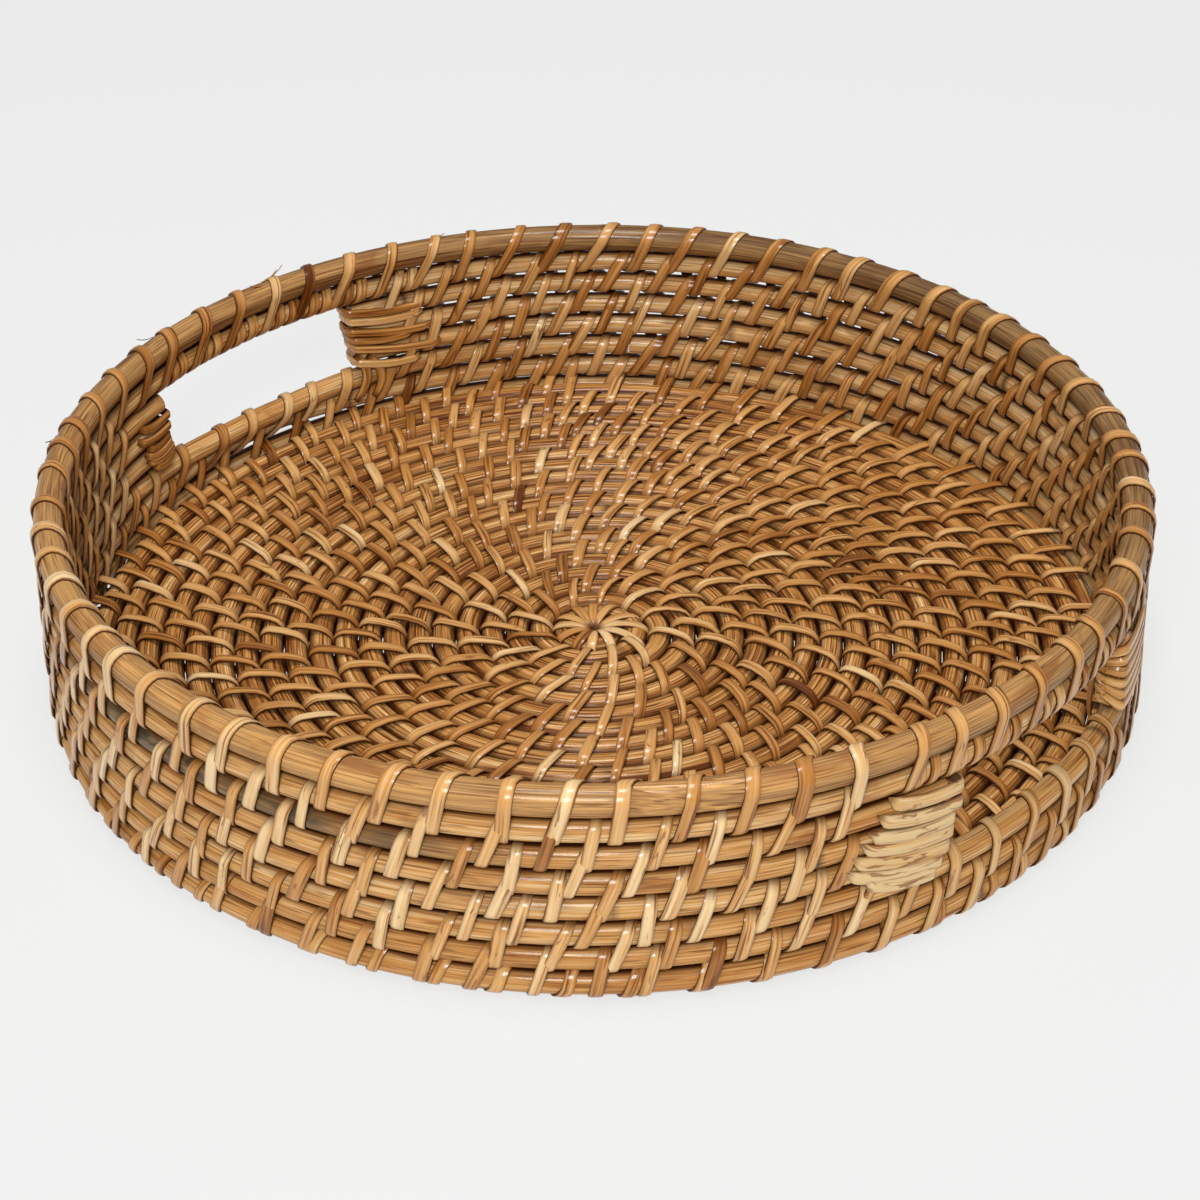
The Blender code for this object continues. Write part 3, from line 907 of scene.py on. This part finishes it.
def varnish(tree, colour, roughness, bump, strength, coat):
    """Varnished surface: a colour, roughness, relief, and a clear coat that dulls under the painted crevice
    shade.
    """
    shader = tree.nodes["Principled BSDF"]
    # The coat thins where shade is painted, since that shade would hide its reflection.
    shine = spread(tree, attribute(tree, "crevice", "Fac"), 0.15, 0.75, coat, 0.0)
    tree.links.new(shine, shader.inputs["Coat Weight"])
    tree.links.new(colour, shader.inputs["Base Color"])
    tree.links.new(roughness, shader.inputs["Roughness"])
    shader.inputs["Specular IOR Level"].default_value = SPECULAR
    shader.inputs["Coat Roughness"].default_value = COAT_ROUGHNESS
    relief = add_node(tree, "ShaderNodeBump", {"Height": bump, "Strength": strength, "Distance": RELIEF})
    tree.links.new(relief.outputs["Normal"], shader.inputs["Normal"])


def new_tree(name):
    """A new material and its node tree."""
    material = bpy.data.materials.new(name)
    material.use_nodes = True
    return material, material.node_tree


def share_of(tree, value, share):
    """A share of a value."""
    return reckon(tree, "MULTIPLY", value, share)


def shaded_and_stained(tree, colour, colours):
    """A colour with painted shade and stain in the crevices: browned on the way in, almost black at the
    bottom.
    """
    crevice = attribute(tree, "crevice", "Fac")
    deep = reckon(tree, "POWER", crevice, 3.0)
    colour = blend(tree, spread(tree, crevice, 0.10, 0.80), colour, colours.brown)
    return blend(tree, share_of(tree, deep, 0.95), colour, colours.shadow)


def cane_material(name, colours, stops, stain, coat, contrast=1.0):
    """Round cane: fine fibres on longer streaks, thin dark cracks, stain patches, dark nodes, painted crevice
    shade.

    The contrast multiplies the strength of the fibres and cracks.
    """
    material, tree = new_tree(name)
    fine = streaks(tree, (30, 2300, 2300), 0.0)
    lines = streaks(tree, (28, 1250, 1250), 1.0)
    broad = streaks(tree, (10, 200, 200), 2.0, distortion=0.3)
    blotch = streaks(tree, (26, 75, 75), 3.0, distortion=0.7)
    cracks = streaks(tree, (55, 1500, 1500), 0.0)
    value = sums(tree, 0.5, attribute(tree, "tone", "Fac"), 0.24)
    for part, share in ((broad, 0.50), (lines, 0.62 * contrast), (fine, 0.25 * contrast)):
        value = sums(tree, value, part, share)
    colour = ramp(tree, value, stops)
    colour = blend(tree, spread(tree, cracks, 0.36, 0.28, 0.0, 0.62 * contrast), colour, colours.brown)
    colour = blend(tree, spread(tree, blotch, 0.54, 0.70, 0.0, stain), colour, colours.rust)
    grey = share_of(tree, attribute(tree, "stain", "Fac"), spread(tree, blotch, 0.35, 0.55, 0.50, 1.0))
    colour = blend(tree, grey, colour, colours.soot)
    # Painted shade in the crevices, with some stain.
    colour = shaded_and_stained(tree, colour, colours)
    colour = blend(tree, share_of(tree, attribute(tree, "ring", "Fac"), 0.8), colour, colours.shadow)
    roughness = spread(tree, lines, 0.35, 0.65, 0.58, 0.40)
    varnish(tree, colour, roughness, lines, 0.5 * contrast, coat)
    return material


def strip_material(name, colours, stops, coat, scorched):
    """Split-cane strip: each has a tone of its own, fine streaks, brown scorches, edges of stain and painted
    shade.
    """
    material, tree = new_tree(name)
    fine = streaks(tree, (30, 850, 200), 1.5)
    broad = streaks(tree, (28, 330, 100), 3.0, distortion=0.5)
    value = sums(tree, attribute(tree, "tone", "Fac"), broad, 0.60)
    value = sums(tree, value, fine, 0.75)
    colour = ramp(tree, value, stops)
    colour = blend(tree, spread(tree, fine, 0.40, 0.30, 0.0, 0.70), colour, colours.brown)
    scorch = streaks(tree, (90, 420, 100), 2.0, distortion=0.6)
    edge = 0.70 - 0.14 * scorched
    colour = blend(tree, spread(tree, scorch, edge, edge + 0.06, 0.0, 0.7), colour, colours.rust)
    # Stain and painted shade at the edges, and painted shade in the gaps between canes.
    colour = shaded_and_stained(tree, colour, colours)
    roughness = spread(tree, broad, 0.3, 0.7, 0.28, 0.42)
    varnish(tree, colour, roughness, fine, 0.3, coat)
    return material


def shared_material(name):
    """One of the tray's five finishes, made when first asked for."""
    if name in bpy.data.materials:
        return bpy.data.materials[name]
    colours = bpy.context.scene.tray_colours
    warm = [(0.22, colours.brown), (0.38, colours.amber), (0.56, colours.gold), (0.76, colours.straw)]
    olive = [(0.24, colours.brown), (0.44, colours.olive), (0.72, colours.gold), (0.98, colours.straw)]
    golden = [(0.06, colours.brown), (0.34, colours.amber), (0.60, colours.gold), (0.92, colours.straw)]
    pale = [(0.10, colours.amber), (0.40, colours.gold), (0.66, colours.bleached), (1.0, colours.bleached)]
    makers = {
        "floor cane": (cane_material, warm, 0.70, 0.28, 1.45),
        "wall cane": (cane_material, warm, 0.55, 0.30, 0.9),
        "rim cane": (cane_material, olive, 0.60, 0.22),
        "amber strip": (strip_material, golden, 0.50, 0.45),
        "pale strip": (strip_material, pale, 0.15, 1.0),
    }
    maker, *settings = makers[name]
    return maker(name, colours, *settings)


# Operators

ROUND_SAMPLES = 440
ARC_SAMPLES = 190
RIM_SAMPLES = 560
JOINT_GAP = 0.0003
RIM_JOINT = math.radians(-46.1)
RIM_NODE = math.radians(130.3)
FLOOR_DARKER = 0.5
WALL_LIGHTER = 0.3
# Wall canes lighter at the back and darker at the front: painted light, standing in for light on the back
# wall.
WALL_PAINTED_LIGHT = -0.15


class TRAY_OT_floor_cane(bpy.types.Operator):
    """Coil the floor from one cane."""

    bl_idname = "tray.floor_cane"
    bl_label = "Floor cane"

    def execute(self, context):
        """Sweep the cane along the spiral."""
        coil = Coil(context.scene.tray_sizes)
        turns = np.concatenate([np.linspace(-0.7, 4, 280)[:-1], np.linspace(4, coil.end, 2300)])
        radius, height, half = coil.place(turns)
        cane = sweep_cane(radius, -FULL_TURN * turns, height, half, 301, "floor")
        cane["tone"] -= FLOOR_DARKER
        add_cane("floor_cane", cane, shared_material("floor cane"), ["floor_coil"])
        return {"FINISHED"}


# How much shorter two cut arcs end at the right hold, as angles, where their binding leans away from it.
CUT_SHORT = {("front", 1): 0.030, ("front", 2): 0.006}


class TRAY_OT_wall_canes(bpy.types.Operator):
    """Lay the rounds of the wall below the rim."""

    bl_idname = "tray.wall_canes"
    bl_label = "Wall canes"

    def execute(self, context):
        """Sweep the full rounds, then the front and back arcs of the cut ones."""
        full = [("foot_cane", FOOT, 82.5), ("sill_cane_1", SILLS[0], 60.0), ("sill_cane_2", SILLS[1], 127.5),
                ("hold_bar_cane", BAR, 105.0)]
        for name, wall_round, joint in full:
            gap = JOINT_GAP / wall_round.radius
            angle = math.radians(joint) + np.linspace(gap, FULL_TURN - gap, ROUND_SAMPLES)
            kind = "sill" if wall_round is SILLS[1] else "wall"
            self.lay(context, name, "round", wall_round, angle, wall_round.seed, kind)
        for level, cut in enumerate(CUTS, start=1):
            front, back = cut_end_angles(level)
            arcs = {"front": (math.pi + front, FULL_TURN - front), "back": (back, math.pi - back)}
            for side, (start, end) in arcs.items():
                angle = np.linspace(start, end - CUT_SHORT.get((side, level), 0.0), ARC_SAMPLES)
                stain = soot_stain(angle) if (side, level) == ("front", 3) else 0.0
                name, seed = f"{side}_cane_{level}", cut.seed + len(side)
                self.lay(context, name, "arc", cut, angle, seed, "wall", stain)
        return {"FINISHED"}

    def lay(self, context, name, ending, wall_round, angle, seed, kind, stain=0.0):
        """Sweep one cane of the wall along its angles, as the piece that stands for its solid."""
        radius, height, half = place_round(wall_round, angle, context.scene.tray_sizes)
        cane = sweep_cane(radius, angle, height, half, seed, kind, stain=stain, fade_and_light=WALL_PAINTED_LIGHT)
        cane["tone"] += WALL_LIGHTER
        add_cane(f"{name}_{ending}", cane, shared_material("wall cane"), [name])


class TRAY_OT_rim_cane(bpy.types.Operator):
    """Bend the rim cane and scarf its ends together at the front."""

    bl_idname = "tray.rim_cane"
    bl_label = "Rim cane"

    def execute(self, context):
        """Sweep the rim past a full turn, each end thinning to one side where it overlaps the other."""
        sizes = context.scene.tray_sizes
        overlap = sizes.scarf / RIM.radius
        angle = RIM_JOINT + np.linspace(0, FULL_TURN + overlap, RIM_SAMPLES)
        radius, height, half = place_round(RIM, angle, sizes)
        from_start = np.clip((angle - angle[0]) / overlap, 0, 1)
        from_end = np.clip((angle[-1] - angle) / overlap, 0, 1)
        start_share, end_share = 0.50 + 0.50 * from_start, 0.12 + 0.88 * from_end
        aside = half * (start_share - end_share) * math.sqrt(0.5)
        nodes = (angle[0], RIM_NODE)
        stain = 0.50 * np.clip(-fading(angle + 0.6), 0, 1)
        cane = sweep_cane(radius + aside, angle, height - aside, half * start_share * end_share, RIM.seed,
                          "rim", nodes, stain, 0.25)
        add_cane("rim_round", cane, shared_material("rim cane"), ["rim_cane"])
        return {"FINISHED"}


class TRAY_OT_floor_stitches(bpy.types.Operator):
    """Stitch the turns of the floor together."""

    bl_idname = "tray.floor_stitches"
    bl_label = "Floor stitches"

    def execute(self, context):
        """Lay every floor stitch as one piece."""
        sizes = context.scene.tray_sizes
        add_strips("floor_stitches", floor_stitches(sizes))
        add_strips("floor_star", star_strips(sizes))
        return {"FINISHED"}


class TRAY_OT_wall_stitches(bpy.types.Operator):
    """Stitch the rounds of the wall together, row by row."""

    bl_idname = "tray.wall_stitches"
    bl_label = "Wall stitches"

    def execute(self, context):
        """Lay the rows from the foot to the hold bar."""
        sizes = context.scene.tray_sizes
        random = np.random.default_rng(17)
        for row in range(len(WALL) - 2):
            tone = foot_tone if row == 0 else wall_tone
            strips = wall_row(row, sizes, random, tone, sizes.strip_width)
            add_strips(f"wall_stitches_{row + 1}", strips)
        return {"FINISHED"}


class TRAY_OT_rim_lashing(bpy.types.Operator):
    """Lash the rim to the hold bar, and wrap the bar by itself over the hand-holds."""

    bl_idname = "tray.rim_lashing"
    bl_label = "Rim lashing"

    def execute(self, context):
        """Lay the rim's loops and the short wraps between them."""
        sizes = context.scene.tray_sizes
        top = len(WALL) - 2
        flat = (0.0002, 0.0002)
        starts = row_starts(top, sizes, np.random.default_rng(24))
        strips = wall_row(top, sizes, np.random.default_rng(24), rim_tone, sizes.rim_strip_width,
                          0.72, flat, 0.08)
        add_strips("rim_wraps", strips, ["rim_lashing"])
        add_strips("hold_bar_wraps", bar_wraps(sizes, starts, np.random.default_rng(23)))
        add_strips("rim_splinters", splinter_strips(sizes))
        return {"FINISHED"}


class TRAY_OT_end_bindings(bpy.types.Operator):
    """Bind the cut ends at both sides of each hand-hold."""

    bl_idname = "tray.end_bindings"
    bl_label = "End bindings"

    def execute(self, context):
        """Wind each of the four bindings."""
        sizes = context.scene.tray_sizes
        for order, binding in enumerate(BINDINGS):
            strips = binding_strips(binding, sizes, 70 + 3 * order)
            finish = "pale strip" if binding.name == "right_front" else "amber strip"
            add_strips(f"bound_end_{binding.name}", strips, [f"binding_{binding.name}"], finish)
        add_strips("binding_ties", tie_strips(sizes))
        return {"FINISHED"}


GROUND_REACH = 6.0
WORLD_LIGHT = 0.26


class TRAY_OT_stage(bpy.types.Operator):
    """Set the camera, the pale floor and soft studio light."""

    bl_idname = "tray.stage"
    bl_label = "Stage"

    def execute(self, context):
        """Place the camera by its angles, then the floor and the lamps."""
        stage = context.scene.tray_stage
        self.add_camera(context, stage)
        self.add_floor(stage)
        self.add_lights(context, stage)
        context.scene.view_settings.view_transform = "Standard"
        return {"FINISHED"}

    def add_camera(self, context, stage):
        """Camera at its azimuth and elevation, looking down by its pitch and rolled a little."""
        data = bpy.data.cameras.new("camera")
        data.sensor_width = 36.0
        data.lens = stage.lens
        data.clip_start = 0.01
        back, up = stage.distance * math.cos(stage.elevation), stage.distance * math.sin(stage.elevation)
        place = Matrix.Rotation(stage.azimuth, 4, "Z") @ Matrix.Translation((stage.aside, -back, up))
        look = Matrix.Rotation(math.pi / 2 - stage.pitch, 4, "X") @ Matrix.Rotation(stage.roll, 4, "Z")
        camera = put("camera", data)
        camera.matrix_world = place @ look
        context.scene.camera = camera

    def add_floor(self, stage):
        """Wide pale floor at the height that the tray stands on."""
        mesh = bpy.data.meshes.new("studio_floor")
        corners = [(x * GROUND_REACH, y * GROUND_REACH, 0) for x, y in ((-1, -1), (1, -1), (1, 1), (-1, 1))]
        mesh.from_pydata(corners, [], [(0, 1, 2, 3)])
        material, tree = new_tree("studio floor")
        shader = tree.nodes["Principled BSDF"]
        shader.inputs["Base Color"].default_value = (*stage.floor_colour, 1.0)
        shader.inputs["Roughness"].default_value = 0.9
        glow = add_node(tree, "ShaderNodeEmission", {"Color": (*stage.glow_colour, 1.0), "Strength": 1.0})
        rays = tree.nodes.new("ShaderNodeLightPath").outputs
        seen = reckon(tree, "MAXIMUM", rays["Is Camera Ray"], rays["Is Glossy Ray"])
        seen = share_of(tree, reckon(tree, "MAXIMUM", seen, rays["Is Transmission Ray"]), stage.glow)
        mixed = add_node(tree, "ShaderNodeMixShader", {0: seen, 1: shader.outputs[0], 2: glow.outputs[0]})
        tree.links.new(mixed.outputs[0], tree.nodes["Material Output"].inputs["Surface"])
        mesh.materials.append(material)
        floor = put("studio_floor", mesh)

    def add_lights(self, context, stage):
        """A pale world and two wide lamps."""
        world = bpy.data.worlds.new("studio")
        world.use_nodes = True
        tree = world.node_tree
        seen = tree.nodes.new("ShaderNodeLightPath").outputs["Is Camera Ray"]
        shade = blend(tree, seen, (WORLD_LIGHT,) * 3, stage.glow_colour)
        tree.links.new(shade, tree.nodes["Background"].inputs["Color"])
        context.scene.world = world
        lamps = [("overhead", stage.azimuth, 0.15, 2.0, 0.60, 21.8),
                 ("front", stage.azimuth - 0.1, 1.7, 1.4, 0.60, 29.8)]
        for name, azimuth, away, height, size, power in lamps:
            data = bpy.data.lights.new(name, "AREA")
            data.size = size
            data.energy = power
            lamp = put(name, data)
            lamp.location = (away * math.sin(azimuth), -away * math.cos(azimuth), height)
            lamp.rotation_euler = (math.atan2(away, height), 0.0, azimuth)


class TRAY_PT_panel(bpy.types.Panel):
    """Sidebar panel that lists the tray's pieces and their sizes."""

    bl_idname = "TRAY_PT_panel"
    bl_label = "Coiled cane tray"
    bl_space_type = "VIEW_3D"
    bl_region_type = "UI"
    bl_category = "Tray"

    def draw(self, context):
        """List the operators, then every size and colour."""
        for operator in OPERATORS:
            self.layout.operator(operator.bl_idname)
        for group in (context.scene.tray_sizes, context.scene.tray_colours, context.scene.tray_stage):
            for name in group.__annotations__:
                self.layout.prop(group, name)


GROUPS = {"tray_sizes": TraySizes, "tray_colours": TrayColours, "tray_stage": TrayStage}
OPERATORS = (TRAY_OT_stage, TRAY_OT_floor_cane, TRAY_OT_wall_canes, TRAY_OT_rim_cane, TRAY_OT_floor_stitches,
             TRAY_OT_wall_stitches, TRAY_OT_rim_lashing, TRAY_OT_end_bindings)


def register():
    """Register the groups, the operators and the panel."""
    for name, group in GROUPS.items():
        bpy.utils.register_class(group)
        setattr(bpy.types.Scene, name, bpy.props.PointerProperty(type=group))
    for cls in (*OPERATORS, TRAY_PT_panel):
        bpy.utils.register_class(cls)


def unregister():
    """Take everything that register added away again."""
    for cls in (TRAY_PT_panel, *reversed(OPERATORS)):
        bpy.utils.unregister_class(cls)
    for name, group in GROUPS.items():
        delattr(bpy.types.Scene, name)
        bpy.utils.unregister_class(group)


def main():
    """Build the whole scene."""
    register()
    bpy.ops.tray.stage()
    bpy.ops.tray.floor_cane()
    bpy.ops.tray.wall_canes()
    bpy.ops.tray.rim_cane()
    bpy.ops.tray.floor_stitches()
    bpy.ops.tray.wall_stitches()
    bpy.ops.tray.rim_lashing()
    bpy.ops.tray.end_bindings()


if __name__ == "__main__":
    main()
